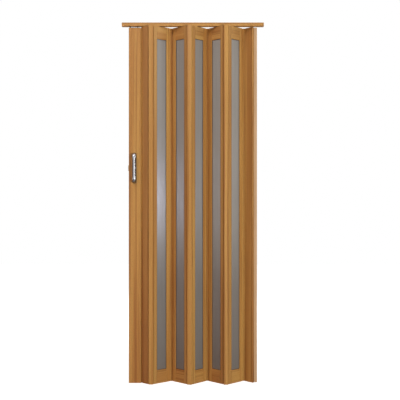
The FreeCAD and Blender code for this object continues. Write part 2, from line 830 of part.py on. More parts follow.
def post_plug():
    """The cap on the lead post's top, with a plug in each of the two outer chambers."""
    left = -socket_face - s.post_width
    margin, play = s.post_corner, s.post_wall + s.post_plug_play
    half = s.post_depth / 2
    body = doc.addObject("PartDesign::Body", "post_plug")
    top = new_sketch(body, "XY_Plane", "post_cap")
    draw_loop(top, rectangle(left + margin, margin - half, -socket_face - margin, half - margin))
    pad(body, top, s.post_cap_height)
    cell = (s.post_width - s.post_wall * (POST_CHAMBERS + 1)) / POST_CHAMBERS
    plugs = new_sketch(body, "XY_Plane", "post_plugs")
    for index in (0, POST_CHAMBERS - 1):
        x0 = left + play + (cell + s.post_wall) * index
        x1 = x0 + cell - 2 * s.post_plug_play
        draw_loop(plugs, rectangle(x0, play - half, x1, half - play))
    feature = pad(body, plugs, s.post_plug_depth)
    feature.Reversed = True
    body.Placement = Placement(plan.start_leaf.bead + UP * post_top.value, Rotation())
    return body


def make_post_runners():
    """Two gliders on the plug that closes the lead post's top, all in one piece."""
    seat = post_top + s.post_cap_height
    glider = make_glider("post_glider", seat, s.post_cap_height / 2)
    plug = post_plug()
    doc.recompute()
    left = plan.start_leaf.bead.x - (socket_face + s.post_width).value
    shape = plug.Shape
    for x0 in (s.runner_inset, s.runner_inset + s.runner_spacing):
        place = Placement(Vector(left + x0.value, 0, 0), Rotation())
        shape = shape.fuse(placed(glider.Shape, place))
    carrier = doc.addObject("Part::Feature", "post_runners")
    carrier.Shape = shape.removeSplitter()
    node(carrier, "post_runners")


def main():
    make_track()
    make_lead_post()
    make_latch()
    for name, turn in (("front", 0), ("back", 180)):
        make_plate(f"handle_plate_{name}", turn)
        make_bow(f"handle_bow_{name}", turn)
    make_lock_slide()
    start, end = plan.start_leaf, plan.end_leaf
    make_half_leaf("start_leaf", at_foot(start.bead, turned(start.bead, start.far)))
    make_half_leaf("end_leaf", at_foot(end.bead, turned(end.bead, end.far)))
    for number, leaf in enumerate(plan.leaves, start=1):
        make_leaf(number, leaf)
    counts = {-1: 0, 1: 0}
    for strip in plan.strips:
        counts[strip.side] += 1
        middle = (strip.left + strip.right) / 2
        if strip.side < 0:
            name = f"front_fold_{counts[strip.side]}"
            make_fold_strip(name, at_foot(middle, turned(strip.left, strip.right)))
        else:
            name = f"back_fold_{counts[strip.side]}"
            make_fold_strip(name, at_foot(middle, turned(strip.right, strip.left)))
    make_wall_channel()
    make_wall_bar()
    make_leaf_runners()
    make_post_runners()
    doc.recompute()
    for thing in doc.Objects:
        if "Invalid" in thing.State or "Error" in thing.State:
            raise RuntimeError(f"{thing.Label} failed: {thing.State}")
    for piece in nodes:
        if piece.Shape.isNull() or not piece.Shape.isValid():
            raise RuntimeError(f"{piece.Label} has no valid shape")
    os.makedirs("parts", exist_ok=True)
    for piece in nodes:
        piece.Shape.exportStep(os.path.join("parts", f"{piece.Label}.step"))
    print(f"{len(nodes)} parts written")


main()
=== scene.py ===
"""Looks of the accordion door: wood-print foil, frosted panes, a chrome handle and small trim."""
import math
from types import SimpleNamespace

import bmesh
import bpy
from bpy.props import FloatProperty, FloatVectorProperty, PointerProperty
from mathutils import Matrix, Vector


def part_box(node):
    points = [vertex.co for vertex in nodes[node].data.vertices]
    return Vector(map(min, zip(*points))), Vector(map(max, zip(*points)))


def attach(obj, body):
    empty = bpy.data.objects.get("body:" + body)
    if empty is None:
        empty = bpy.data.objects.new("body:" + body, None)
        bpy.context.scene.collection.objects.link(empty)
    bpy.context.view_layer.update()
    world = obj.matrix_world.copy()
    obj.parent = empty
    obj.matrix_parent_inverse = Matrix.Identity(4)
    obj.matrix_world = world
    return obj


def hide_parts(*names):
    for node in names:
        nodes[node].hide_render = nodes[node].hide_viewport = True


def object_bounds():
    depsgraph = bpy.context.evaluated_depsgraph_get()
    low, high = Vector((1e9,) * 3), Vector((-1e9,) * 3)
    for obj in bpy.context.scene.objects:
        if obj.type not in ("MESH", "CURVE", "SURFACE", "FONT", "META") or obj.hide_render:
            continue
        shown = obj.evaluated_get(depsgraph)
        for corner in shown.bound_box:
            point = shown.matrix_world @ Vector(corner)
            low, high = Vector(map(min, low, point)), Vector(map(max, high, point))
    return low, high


bl_info = {
    "name": "Accordion Door",
    "version": (1, 0, 0),
    "blender": (4, 5, 0),
    "location": "3D View > Sidebar > Accordion Door",
    "description": "Dresses a folding door in wood-print foil, frosted acrylic and chrome",
    "category": "Add Mesh",
}

MM = 0.001
UP = Vector((0, 0, 1))
LEAVES = range(1, 6)
FOLDS = range(1, 4)
SEED = 7  # moves each pattern to a place of its own in the noise

# Points this near are one point, and points this deep below a face belong to it
SAME_POINT, FACE_DEPTH = 0.001 * MM, 0.1 * MM
# Faces that turn by less than the first angle are one, and edges past the second are sharp
FLAT_ANGLE, SHARP_ANGLE = math.radians(1), math.radians(35)

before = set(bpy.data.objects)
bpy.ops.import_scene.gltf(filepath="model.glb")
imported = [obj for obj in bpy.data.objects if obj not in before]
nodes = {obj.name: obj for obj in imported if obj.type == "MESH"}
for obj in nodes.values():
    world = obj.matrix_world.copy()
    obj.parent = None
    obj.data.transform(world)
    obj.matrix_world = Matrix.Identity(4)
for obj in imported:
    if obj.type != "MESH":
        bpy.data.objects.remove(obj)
cad_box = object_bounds()


# Colours and material nodes
def from_hex(code):
    """Turns an sRGB hex value into linear red, green and blue."""
    shares = [int(code[i:i + 2], 16) / 255 for i in (1, 3, 5)]
    return [c / 12.92 if c <= 0.04045 else ((c + 0.055) / 1.055) ** 2.4 for c in shares]


def add(tree, kind, settings, inputs):
    """Adds a node. Settings are its properties, and inputs are values or sockets that feed it."""
    made = tree.nodes.new(kind)
    for name, value in settings.items():
        setattr(made, name, value)
    for name, value in inputs.items():
        if isinstance(value, bpy.types.NodeSocket):
            tree.links.new(value, made.inputs[name])
        else:
            made.inputs[name].default_value = value
    return made


def new_material(name):
    """An empty material and its node tree."""
    material = bpy.data.materials.new(name)
    material.use_nodes = True
    material.node_tree.nodes.clear()
    return material, material.node_tree


# Nearly all of a noise's values lie between these
NOISE_LOW, NOISE_HIGH = 0.3, 0.7
# What makes a Map Range node run smoothly out of its low end and into its high one
SMOOTH = {"interpolation_type": "SMOOTHSTEP"}
# The mix node's colour sockets, which share their names with its other sockets
MIX_A, MIX_B, MIX_RESULT = 6, 7, 2


def laid_over(tree, base, colour, pattern, low=NOISE_LOW, high=NOISE_HIGH, most=1.0):
    """Lays a colour over a base by a pattern: none of it up to low, and most from high on."""
    share = add(
        tree, "ShaderNodeMapRange", SMOOTH,
        {"Value": pattern, "From Min": low, "From Max": high, "To Max": most})
    under = base if isinstance(base, bpy.types.NodeSocket) else (*base, 1)
    both = add(
        tree, "ShaderNodeMix", {"data_type": "RGBA"},
        {0: share.outputs["Result"], MIX_A: under, MIX_B: (*colour, 1)})
    return both.outputs[MIX_RESULT]


def finished(material, tone, relief, strength, depth, wear, roughness, even):
    """Gives a material its colour, a fine relief, and a roughness that follows a pattern.

    The roughness runs from its first value to its second as the pattern goes from low to high. The
    even values are the same all over, so they are set on the shader's own sockets.
    """
    tree = material.node_tree
    smooth, dull = roughness
    shine = add(
        tree, "ShaderNodeMapRange", SMOOTH,
        {"Value": wear, "From Min": NOISE_LOW, "From Max": NOISE_HIGH,
         "To Min": smooth, "To Max": dull})
    raised = add(
        tree, "ShaderNodeBump", {}, {"Height": relief, "Strength": strength, "Distance": depth})
    shader = add(
        tree, "ShaderNodeBsdfPrincipled", {},
        {"Base Color": tone, "Roughness": shine.outputs["Result"],
         "Normal": raised.outputs["Normal"], **even})
    add(tree, "ShaderNodeOutputMaterial", {}, {"Surface": shader.outputs["BSDF"]})
    return material


def grain(tree, cell, shift, turn=0.0, detail=2.0, roughness=0.5):
    """Noise whose cell has real sizes in metres, along axes that are turned about the upright."""
    place = add(tree, "ShaderNodeTexCoord", {}, {})
    laid = add(
        tree, "ShaderNodeMapping", {"vector_type": "TEXTURE"},
        {"Vector": place.outputs["Object"], "Location": shift, "Rotation": (0, 0, turn),
         "Scale": cell})
    noise = add(
        tree, "ShaderNodeTexNoise", {},
        {"Vector": laid.outputs["Vector"], "Scale": 1.0, "Detail": detail, "Roughness": roughness})
    return noise.outputs["Fac"]


def shades(colour, spread):
    """A colour a little darker and a little lighter."""
    return [c * (1 - spread) for c in colour], [min(1.0, c * (1 + spread)) for c in colour]


# Sizes and colours that a user would change
class FoilSettings(bpy.types.PropertyGroup):
    """Beech print on the door's profiles"""

    ground: FloatVectorProperty(
        name="Ground", description="Colour of the print between its grain lines",
        subtype="COLOR", min=0, max=1, default=from_hex("#C1934E"))
    heart: FloatVectorProperty(
        name="Heart", description="Colour of the darker, redder bands",
        subtype="COLOR", min=0, max=1, default=from_hex("#B07D3E"))
    line: FloatVectorProperty(
        name="Grain line", description="Colour of the grain lines and flecks",
        subtype="COLOR", min=0, max=1, default=from_hex("#915D2B"))
    core: FloatVectorProperty(
        name="Core", description="Colour of the bare extrusion at its cut ends",
        subtype="COLOR", min=0, max=1, default=from_hex("#C6A272"))
    band_width: FloatProperty(
        name="Band width", description="Spacing of the broad bands across the grain",
        unit="LENGTH", min=0.001, default=34 * MM)
    line_width: FloatProperty(
        name="Line width", description="Spacing of the grain lines, drawn coarse enough to show",
        unit="LENGTH", min=0.0001, default=8 * MM)
    line_length: FloatProperty(
        name="Line length", description="Length of a grain line along the grain",
        unit="LENGTH", min=0.01, default=1100 * MM)


class PaneSettings(bpy.types.PropertyGroup):
    """Frosted panes and the gaskets round them"""

    tint: FloatVectorProperty(
        name="Tint", description="Colour of the frosted acrylic",
        subtype="COLOR", min=0, max=1, default=from_hex("#9B958E"))
    gasket: FloatVectorProperty(
        name="Gasket", description="Colour of the glazing gasket",
        subtype="COLOR", min=0, max=1, default=from_hex("#5A4331"))
    gasket_radius: FloatProperty(
        name="Gasket radius", description="Half the thickness of the round glazing gasket",
        unit="LENGTH", min=0.0001, default=1.0 * MM)
    gasket_corner: FloatProperty(
        name="Gasket corner", description="Bend of the gasket in each corner of a window",
        unit="LENGTH", min=0.0001, default=2.5 * MM)
    clearness: FloatProperty(
        name="Clearness", description="Share of the light that the acrylic lets through",
        subtype="FACTOR", min=0, max=1, default=0.6)


class HandleSettings(bpy.types.PropertyGroup):
    """Handle set on both faces of the lead post"""

    plate: FloatVectorProperty(
        name="Plate", description="Colour of the moulded handle plates",
        subtype="COLOR", min=0, max=1, default=from_hex("#3E2E22"))
    chrome: FloatVectorProperty(
        name="Chrome", description="Colour of the chrome in its buffing lines",
        subtype="COLOR", min=0, max=1, default=from_hex("#A6A7AA"))
    chrome_light: FloatVectorProperty(
        name="Chrome, light", description="Colour of the chrome between its buffing lines",
        subtype="COLOR", min=0, max=1, default=from_hex("#B6B7B9"))
    plate_edge: FloatProperty(
        name="Plate edge", description="Rounding of the plates' edges",
        unit="LENGTH", min=0, default=0.5 * MM)
    slide_edge: FloatProperty(
        name="Slide edge", description="Rounding of the lock slide's edges",
        unit="LENGTH", min=0, default=0.8 * MM)
    grip_width: FloatProperty(
        name="Grip width", description="Width of a bow between its two wider ends",
        unit="LENGTH", min=0.0001, default=11 * MM)
    grip_length: FloatProperty(
        name="Grip length", description="Length of a bow's slim straight part",
        unit="LENGTH", min=0.0001, default=94 * MM)
    bow_thickness: FloatProperty(
        name="Bow thickness", description="Thickness of a bow from its inside to its outside",
        unit="LENGTH", min=0.0001, default=6 * MM)
    bow_bend: FloatProperty(
        name="Bow bend", description="Outer radius of a bow's two bends",
        unit="LENGTH", min=0.0001, default=21 * MM)


class TrimSettings(bpy.types.PropertyGroup):
    """Wall channel, latch and runners"""

    channel: FloatVectorProperty(
        name="Channel", description="Colour of the plain wall channel",
        subtype="COLOR", min=0, max=1, default=from_hex("#C29F76"))
    latch: FloatVectorProperty(
        name="Latch", description="Colour of the latch in its brush lines",
        subtype="COLOR", min=0, max=1, default=from_hex("#A08A6B"))
    latch_light: FloatVectorProperty(
        name="Latch, light", description="Colour of the latch between its brush lines",
        subtype="COLOR", min=0, max=1, default=from_hex("#B9A382"))
    runners: FloatVectorProperty(
        name="Runners", description="Colour of the moulded runners",
        subtype="COLOR", min=0, max=1, default=from_hex("#3A3733"))


class StageSettings(bpy.types.PropertyGroup):
    """Camera, lamps and floor"""

    distance: FloatProperty(
        name="Camera distance", description="From the camera to the door's middle plane",
        unit="LENGTH", min=0.1, default=4.39)
    drop: FloatProperty(
        name="Camera drop", description="How far the camera stands below the track's top",
        unit="LENGTH", default=0.999)
    aside: FloatProperty(
        name="Camera offset", description="How far the camera stands right of the door's middle",
        unit="LENGTH", default=0.0405)
    lens: FloatProperty(
        name="Lens", description="Focal length in millimetres on a 36 mm sensor",
        min=1, default=69.96)
    floor_reach: FloatProperty(
        name="Floor reach", description="From the door to the edge of the pale floor",
        unit="LENGTH", min=1, default=8)
    paper: FloatVectorProperty(
        name="Floor", description="Colour of the floor's matt paper",
        subtype="COLOR", min=0, max=1, default=from_hex("#C4C4C2"))
    ambient: FloatProperty(
        name="Ambient", description="Strength of the room's own light", min=0, default=0.06)
    key: FloatProperty(
        name="Key", description="Power of the lamp in front on the right, in watts",
        min=0, default=84)
    side: FloatProperty(
        name="Side", description="Power of the lamp further round on the right, in watts",
        min=0, default=38)
    high: FloatProperty(
        name="High", description="Power of the lamp high and near on the left, in watts",
        min=0, default=26)
    warm: FloatProperty(
        name="Warm", description="Power of the reddish lamp low on the left, in watts",
        min=0, default=9)
    top: FloatProperty(
        name="Top", description="Power of the lamp above the door, in watts",
        min=0, default=18)
    back: FloatProperty(
        name="Back", description="Power of the lamp behind the door, in watts",
        min=0, default=90)
    window: FloatProperty(
        name="Window", min=0, default=17,
        description="Power of the small lamp behind on the left that only shines through the "
        "panes, in watts")
    veil: FloatProperty(
        name="Veil", min=0, default=3.5,
        description="Power of the tall lamp behind on the right that only shines through the "
        "panes, in watts")
    sky: FloatProperty(
        name="Sky", description="Power of the broad lamp that only shows as a reflection, in watts",
        min=0, default=7)


# Materials
def squareness(tree, axis):
    """How squarely a face looks along an axis, which is 1 on an extrusion's cut ends."""
    seen = add(tree, "ShaderNodeNewGeometry", {}, {})
    split = add(tree, "ShaderNodeSeparateXYZ", {}, {"Vector": seen.outputs["Normal"]})
    facing = add(tree, "ShaderNodeMath", {"operation": "ABSOLUTE"}, {0: split.outputs[axis]})
    return facing.outputs["Value"]


def beech_foil(name, foil, turn=0.0, level=False, cut_axis=None):
    """Rigid PVC wrapped in a beech-print foil, pressed on from the roll.

    The print gives soft tan bands, broken grain lines and short flecks. Its clear lacquer is
    satin, so it takes a broad pale sheen and no sharp reflection. The grain runs upright, or where
    level is set along an axis that is turned about the upright. The faces that look along the cut
    axis show the bare extrusion.
    """
    material, tree = new_material(name)

    def cell(across, along):
        return (along, across, across) if level else (across, across, along)

    broad = cell(foil.band_width, foil.line_length * 1.5)
    fine = cell(foil.line_width, foil.line_length)
    bands = grain(tree, broad, (SEED, 0, 0), turn, detail=1.0)
    lines = grain(tree, fine, (0, SEED, 0), turn, detail=4.0, roughness=0.6)
    # Beech's ray flecks are about 0.9 mm by 9 mm, and the foil's pressed pores 0.5 mm by 6 mm
    flecks = grain(tree, cell(0.9 * MM, 9 * MM), (0, 0, SEED), turn, detail=1.0)
    pores = grain(tree, cell(0.5 * MM, 6 * MM), (SEED, SEED, 0), turn, detail=1.0)

    tone = laid_over(tree, foil.ground, foil.heart, bands, low=0.36, high=0.66)
    tone = laid_over(tree, tone, foil.line, lines, low=0.5, high=0.66, most=0.75)
    tone = laid_over(tree, tone, foil.line, flecks, low=0.6, high=0.7, most=0.5)
    if cut_axis is not None:
        square = squareness(tree, cut_axis)
        tone = laid_over(tree, tone, foil.core, square, low=0.97, high=0.99)
    return finished(
        material, tone, relief=pores, strength=0.35, depth=0.06 * MM, wear=lines,
        roughness=(0.44, 0.52), even={"IOR": 1.5})


def plain_plastic(name, colour, grit, roughness):
    """Extruded or moulded plastic in one colour: a satin skin with faint clouds and fine lines.

    Grit is the spacing of the lines that the die or mould leaves, drawn coarse enough to show.
    """
    material, tree = new_material(name)
    clouds = grain(tree, (30 * MM, 30 * MM, 400 * MM), (SEED, 0, SEED), detail=3.0)
    lines = grain(tree, (grit, grit, grit * 30), (0, 0, 0), detail=2.0)
    tone = laid_over(tree, *shades(colour, 0.06), clouds)
    return finished(
        material, tone, relief=lines, strength=0.3, depth=0.05 * MM, wear=lines,
        roughness=(roughness - 0.05, roughness + 0.05), even={"IOR": 1.5})


def frosted_acrylic(panes):
    """Grey cast acrylic, frosted by blasting: a milky body with a soft, wide reflection.

    Light comes through it from behind, with no shapes in it.
    """
    material, tree = new_material("Frosted acrylic, blasted")
    # Blasting leaves pits of about 0.1 mm, drawn coarse enough to show
    frost = grain(tree, (0.8 * MM, 0.8 * MM, 0.8 * MM), (0, SEED, 0), detail=2.0)
    # The sheet has faint upright streaks, about 9 mm wide
    streaks = grain(tree, (9 * MM, 9 * MM, 300 * MM), (0, 0, SEED), detail=2.0)
    tone = laid_over(tree, *shades(panes.tint, 0.05), streaks)
    return finished(
        material, tone, relief=frost, strength=0.4, depth=0.04 * MM, wear=frost,
        roughness=(0.30, 0.36), even={"IOR": 1.49, "Transmission Weight": panes.clearness})


def bright_metal(name, darker, lighter, line, roughness):
    """Polished or plated metal: a mirror or brushed shine, with fine lines from the wheel.

    Line is the spacing of those lines, drawn coarse enough to show.
    """
    material, tree = new_material(name)
    brush = grain(tree, (line, line, line * 25), (0, 0, SEED), detail=2.0)
    return finished(
        material, laid_over(tree, darker, lighter, brush), relief=brush, strength=0.2,
        depth=0.02 * MM, wear=brush, roughness=roughness, even={"Metallic": 1.0})


def shared(name, maker, *values, **options):
    """The material of that name, made the first time that it is asked for."""
    return bpy.data.materials.get(name) or maker(name, *values, **options)


def upright_foil():
    """The foil on every upright profile, with the bare extrusion at its cut ends."""
    return shared(
        "Beech foil, upright", beech_foil, bpy.context.scene.door_foil, cut_axis="Z")


def chrome_plate():
    """Chrome plate on a cast handle, polished: mirror bright with a faint drag from buffing."""
    handle = bpy.context.scene.door_handle
    return shared(
        "Chrome plate, polished", bright_metal, handle.chrome, handle.chrome_light,
        line=0.6 * MM, roughness=(0.12, 0.18))


def latch_steel(trim):
    """Zinc-plated steel, stamped and yellow-passivated: dull straw with fine brush lines."""
    return bright_metal(
        "Zinc-plated steel, yellow-passivated", trim.latch, trim.latch_light,
        line=0.3 * MM, roughness=(0.28, 0.38))


# Reading the frame
def middle(node):
    """The middle of a CAD node's box."""
    low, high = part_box(node)
    return (low + high) / 2


def extent(node, way, face=None):
    """How far a CAD node reaches along a direction, by all its points or those of one face."""
    points = [v.co for v in nodes[node].data.vertices]
    if face is not None:
        outermost = max(p.dot(face) for p in points)
        points = [p for p in points if p.dot(face) > outermost - FACE_DEPTH]
    along = [p.dot(way) for p in points]
    return min(along), max(along)


def window(number):
    """A glazed leaf's turn and facing, and its window's middle, clear size and glass thickness."""
    way = middle(f"leaf_{number}_right_stile") - middle(f"leaf_{number}_left_stile")
    way.normalize()
    facing = Vector((way.y, -way.x, 0))
    left, right = extent(f"leaf_{number}_top_rail", way, face=facing)
    top = extent(f"leaf_{number}_top_rail", UP)[0]
    foot = extent(f"leaf_{number}_bottom_rail", UP)[1]
    inner, outer = extent(f"leaf_{number}_pane", facing)
    centre = middle(f"leaf_{number}_pane")
    centre.z = (top + foot) / 2
    return SimpleNamespace(
        turn=math.atan2(way.y, way.x), facing=facing, centre=centre, width=right - left,
        height=top - foot, glass=outer - inner)


# Making pieces
def paint(names, material):
    """Puts a material in every slot of some CAD nodes' objects."""
    for name in names:
        for held in nodes[name].material_slots:
            held.material = material


def piece(name, mesh, replaced=()):
    """Adds a finished mesh to the door, fixed to its root, and hides the CAD nodes that it
    replaces.
    """
    made = bpy.data.objects.new(name, mesh)
    bpy.context.scene.collection.objects.link(made)
    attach(made, "root")
    if replaced:
        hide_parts(*replaced)
    return made


def new_tree(name, sockets):
    """A geometry node tree with a geometry going in and out, and named inputs for its sizes."""
    tree = bpy.data.node_groups.new(name, "GeometryNodeTree")
    tree.interface.new_socket("Geometry", in_out="INPUT", socket_type="NodeSocketGeometry")
    tree.interface.new_socket("Geometry", in_out="OUTPUT", socket_type="NodeSocketGeometry")
    for label, kind in sockets.items():
        tree.interface.new_socket(label, in_out="INPUT", socket_type=kind)
    return tree, tree.nodes.new("NodeGroupInput").outputs


def end_tree(tree, geometry, material):
    """Ends a tree: instances made real, then the material."""
    real = add(tree, "GeometryNodeRealizeInstances", {}, {"Geometry": geometry})
    dressed = add(
        tree, "GeometryNodeSetMaterial", {},
        {"Geometry": real.outputs["Geometry"], "Material": material})
    add(tree, "NodeGroupOutput", {}, {"Geometry": dressed.outputs["Geometry"]})


def grown(name, places, tree, values):
    """Runs a tree on points, each with a turn, and returns the plain mesh that it makes."""
    points = bpy.data.meshes.new(name)
    points.from_pydata([place for place, _ in places], [], [])
    turns = points.attributes.new("turn", "FLOAT_VECTOR", "POINT")
    for index, (_, turn) in enumerate(places):
        turns.data[index].vector = turn
    host = bpy.data.objects.new(f"{name}_points", points)
    bpy.context.scene.collection.objects.link(host)
    modifier = host.modifiers.new(name, "NODES")
    modifier.node_group = tree
    for item in tree.interface.items_tree:
        if item.in_out == "INPUT" and item.name in values:
            modifier[item.identifier] = values[item.name]
    result = host.evaluated_get(bpy.context.evaluated_depsgraph_get())
    mesh = bpy.data.meshes.new_from_object(result)
    host.modifiers.remove(modifier)
    bpy.data.objects.remove(host)
    if not mesh.polygons:
        raise RuntimeError(f"{name}: the node tree made no faces")
    mesh.name = name
    return mesh


def turned_instances(tree, points, shape):
    """Sets a shape on each point, turned by the point's own turn."""
    turn = add(
        tree, "GeometryNodeInputNamedAttribute", {"data_type": "FLOAT_VECTOR"}, {"Name": "turn"})
    held = add(tree, "FunctionNodeEulerToRotation", {}, {"Euler": turn.outputs["Attribute"]})
    set_out = add(
        tree, "GeometryNodeInstanceOnPoints", {},
        {"Points": points, "Instance": shape, "Rotation": held.outputs["Rotation"]})
    return set_out.outputs["Instances"]


class TrackOperator(bpy.types.Operator):
    """Wrap the top track in foil with its grain along the track"""

    bl_idname = "accordion_door.track"
    bl_label = "Top Track"

    def execute(self, context):
        paint(["top_track"], beech_foil(
            "Beech foil, along the track", context.scene.door_foil, level=True, cut_axis="X"))
        return {"FINISHED"}


class UprightsOperator(bpy.types.Operator):
    """Wrap the lead post, half leaves, stiles and fold strips in foil with upright grain"""

    bl_idname = "accordion_door.uprights"
    bl_label = "Upright Profiles"

    def execute(self, context):
        stiles = [f"leaf_{n}_{side}_stile" for n in LEAVES for side in ("left", "right")]
        folds = [f"{side}_fold_{n}" for n in FOLDS for side in ("front", "back")]
        paint(["lead_post", "start_leaf", "end_leaf"] + stiles + folds, upright_foil())
        return {"FINISHED"}


class CrossPiecesOperator(bpy.types.Operator):
    """Wrap each leaf's cross-pieces in foil with level grain, turned with the leaf"""

    bl_idname = "accordion_door.cross_pieces"
    bl_label = "Cross-Pieces"

    def execute(self, context):
        for number in LEAVES:
            foil = beech_foil(
                f"Beech foil, across leaf {number}", context.scene.door_foil,
                turn=window(number).turn, level=True)
            paint([f"leaf_{number}_top_rail", f"leaf_{number}_bottom_rail"], foil)
        return {"FINISHED"}


class PanesOperator(bpy.types.Operator):
    """Frost the five panes"""

    bl_idname = "accordion_door.panes"
    bl_label = "Panes"

    def execute(self, context):
        paint([f"leaf_{n}_pane" for n in LEAVES], frosted_acrylic(context.scene.door_panes))
        return {"FINISHED"}


# Points on each rounded corner of a gasket, and sides of its round section
CORNER_POINTS, SECTION_SIDES = 4, 10


class GasketsOperator(bpy.types.Operator):
    """Run a round gasket along the edge of each window, on both faces of its pane"""

    bl_idname = "accordion_door.gaskets"
    bl_label = "Glazing Gaskets"

    def execute(self, context):
        panes = context.scene.door_panes
        # Soft PVC from a die shows as a dull dark line round the glass
        rubber = plain_plastic("Soft PVC, extruded", panes.gasket, grit=0.6 * MM, roughness=0.6)
        tree, given = new_tree("Glazing gasket", {
            "Width": "NodeSocketFloat", "Height": "NodeSocketFloat",
            "Radius": "NodeSocketFloat", "Corner": "NodeSocketFloat",
            "Material": "NodeSocketMaterial"})
        ring = add(
            tree, "GeometryNodeCurvePrimitiveQuadrilateral", {},
            {"Width": given["Width"], "Height": given["Height"]})
        rounded = add(
            tree, "GeometryNodeFilletCurve", {"mode": "POLY"},
            {"Curve": ring.outputs["Curve"], "Radius": given["Corner"],
             "Count": CORNER_POINTS, "Limit Radius": True})
        section = add(
            tree, "GeometryNodeCurvePrimitiveCircle", {},
            {"Resolution": SECTION_SIDES, "Radius": given["Radius"]})
        tube = add(
            tree, "GeometryNodeCurveToMesh", {},
            {"Curve": rounded.outputs["Curve"], "Profile Curve": section.outputs["Curve"]})
        stood = add(
            tree, "GeometryNodeTransform", {},
            {"Geometry": tube.outputs["Mesh"], "Rotation": (math.pi / 2, 0, 0)})
        soft = add(
            tree, "GeometryNodeSetShadeSmooth", {}, {"Geometry": stood.outputs["Geometry"]})
        rings = turned_instances(tree, given["Geometry"], soft.outputs["Geometry"])
        end_tree(tree, rings, given["Material"])
        radius = panes.gasket_radius
        places = []
        for number in LEAVES:
            glazed = window(number)
            for side in (-1, 1):
                off = glazed.facing * (side * (glazed.glass / 2 + radius))
                places.append((glazed.centre + off, (0, 0, glazed.turn)))
        mesh = grown("glazing_gaskets", places, tree, {
            "Width": glazed.width - 2 * radius, "Height": glazed.height - 2 * radius,
            "Radius": radius, "Corner": panes.gasket_corner, "Material": rubber})
        piece("glazing_gaskets", mesh)
        return {"FINISHED"}


class WallProfilesOperator(bpy.types.Operator):
    """Leave the wall channel in plain pale plastic and wrap the bar that it holds in foil"""

    bl_idname = "accordion_door.wall_profiles"
    bl_label = "Wall Profiles"

    def execute(self, context):
        # Rigid PVC without foil shows its own pale colour under a satin skin
        paint(["wall_channel"], plain_plastic(
            "Rigid PVC, extruded pale", context.scene.door_trim.channel, grit=1.2 * MM,
            roughness=0.45))
        paint(["wall_bar"], upright_foil())
        return {"FINISHED"}


class PlatesOperator(bpy.types.Operator):
    """Replace the two handle plates with moulded ones that have rounded edges"""

    bl_idname = "accordion_door.plates"
    bl_label = "Handle Plates"

    def execute(self, context):
        handle = context.scene.door_handle
        # ABS from a polished mould is smooth and half glossy
        moulded = plain_plastic(
            "ABS, moulded dark", handle.plate, grit=0.5 * MM, roughness=0.35)
        for side in ("front", "back"):
            node = f"handle_plate_{side}"
            made = piece(f"plate_{side}", merged(node, moulded), [node])
            round_edges(made, handle.plate_edge)
        return {"FINISHED"}


def merged(node, material):
    """A copy of a CAD node's mesh in one material, its points merged and its flat faces whole."""
    mesh = nodes[node].data.copy()
    shape = bmesh.new()
    shape.from_mesh(mesh)
    bmesh.ops.remove_doubles(shape, verts=shape.verts, dist=SAME_POINT)
    bmesh.ops.dissolve_limit(
        shape, angle_limit=FLAT_ANGLE, verts=shape.verts, edges=shape.edges)
    shape.to_mesh(mesh)
    shape.free()
    custom = mesh.attributes.get("custom_normal")
    if custom is not None:
        mesh.attributes.remove(custom)
    mesh.materials.clear()
    mesh.materials.append(material)
    return mesh


def round_edges(made, width):
    """Rounds a piece's edges and shades it smooth between them."""
    made.data.shade_smooth()
    bevel = made.modifiers.new("Rounded edges", "BEVEL")
    bevel.width = width
    bevel.segments = 3
    bevel.limit_method = "ANGLE"
    bevel.angle_limit = SHARP_ANGLE
    bevel.harden_normals = True


class BowsOperator(bpy.types.Operator):
    """Replace the two bow handles with smooth ones that widen to their rounded ends"""

    bl_idname = "accordion_door.bows"
    bl_label = "Bow Handles"

    def execute(self, context):
        for side, out in (("front", -1), ("back", 1)):
            node = f"handle_bow_{side}"
            mesh = bow_mesh(node, out, context.scene.door_handle)
            made = piece(f"bow_{side}", mesh, [node])
            made.data.materials.append(chrome_plate())
            smooth = made.modifiers.new("Smooth", "SUBSURF")
            smooth.levels = 2
            smooth.render_levels = 2
        return {"FINISHED"}


# A bow's section over its grip and at its ends, as shares of its width and of its thickness:
# a soft rectangle turns into a dome on a flat inside
GRIP_SECTION = (
    (-0.36, 0), (-0.5, 0.22), (-0.5, 0.78), (-0.38, 1),
    (0.38, 1), (0.5, 0.78), (0.5, 0.22), (0.36, 0))
END_SECTION = (
    (-0.4, 0), (-0.5, 0.12), (-0.42, 0.62), (-0.18, 1),
    (0.18, 1), (0.42, 0.62), (0.5, 0.12), (0.4, 0))
# Steps round each of a bow's two bends, and rings from a bend to its grip as shares of the way
BEND_STEPS, TO_GRIP = 6, (0.33, 0.67, 1.0)


def bow_path(length, reach, grip_length, thickness, bend):
    """The line along a bow's inside from its upper foot to its lower one: (out, up, turn)."""
    tall, radius = length / 2 - thickness, bend - thickness
    corner_out, corner_up, grip = reach - bend, length / 2 - bend, grip_length / 2
    upper = [(0.0, tall, 0.0), (corner_out / 2, tall, 0.0)]
    for index in range(BEND_STEPS + 1):
        turn = math.pi / 2 * index / BEND_STEPS
        upper.append(
            (corner_out + radius * math.sin(turn), corner_up + radius * math.cos(turn), turn))
    straight = [corner_up + (grip - corner_up) * share for share in TO_GRIP] + [grip / 2]
    upper += [(reach - thickness, up, math.pi / 2) for up in straight]
    lower = [(out, -up, math.pi - turn) for out, up, turn in reversed(upper)]
    return upper + [(reach - thickness, 0.0, math.pi / 2)] + lower


